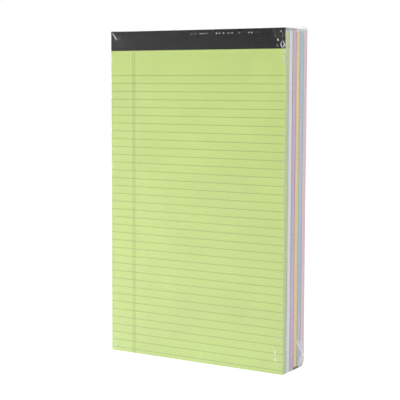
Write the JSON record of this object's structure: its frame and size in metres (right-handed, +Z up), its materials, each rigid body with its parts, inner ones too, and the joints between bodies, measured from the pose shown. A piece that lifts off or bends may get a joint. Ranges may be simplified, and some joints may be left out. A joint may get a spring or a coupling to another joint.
{
  "type": "pack of legal pads",
  "caption": "Upright stack of ruled legal pads in assorted paper colours, each taped at the head over a chipboard back, held together by clear shrink film.",
  "frame": {"origin": "middle of the foot, on the surface that the pack stands on", "axes": "+Z up, from the pack's foot to its head; -Y out of the ruled face of the front pad; +X to the right as that face is read"},
  "size_m": [0.2166, 0.0498, 0.3567],
  "materials": {
    "green_paper": "matte writing paper",
    "gray_paper": "matte writing paper",
    "orchid_paper": "matte writing paper",
    "buff_paper": "matte writing paper",
    "blue_paper": "matte writing paper",
    "pink_paper": "matte writing paper",
    "chipboard": "raw grey-brown board",
    "binding_tape": "charcoal binding tape with a fine leather-like grain",
    "staple_wire": "bright flat wire",
    "ruling_ink": "thin printed ink",
    "clear_film": "clear glossy shrink film"
  },
  "bodies": {
    "root": {"green_sheets": "green_paper", "green_backing": "chipboard", "green_binding": "binding_tape", "green_staples": "staple_wire", "green_ruling": "ruling_ink", "gray_sheets": "gray_paper", "gray_backing": "chipboard", "gray_binding": "binding_tape", "gray_staples": "staple_wire", "gray_ruling": "ruling_ink", "orchid_sheets": "orchid_paper", "orchid_backing": "chipboard", "orchid_binding": "binding_tape", "orchid_staples": "staple_wire", "orchid_ruling": "ruling_ink", "buff_sheets": "buff_paper", "buff_backing": "chipboard", "buff_binding": "binding_tape", "buff_staples": "staple_wire", "buff_ruling": "ruling_ink", "blue_sheets": "blue_paper", "blue_backing": "chipboard", "blue_binding": "binding_tape", "blue_staples": "staple_wire", "blue_ruling": "ruling_ink", "pink_sheets": "pink_paper", "pink_backing": "chipboard", "pink_binding": "binding_tape", "pink_staples": "staple_wire", "pink_ruling": "ruling_ink", "film": "clear_film"}
  },
  "joints": []
}
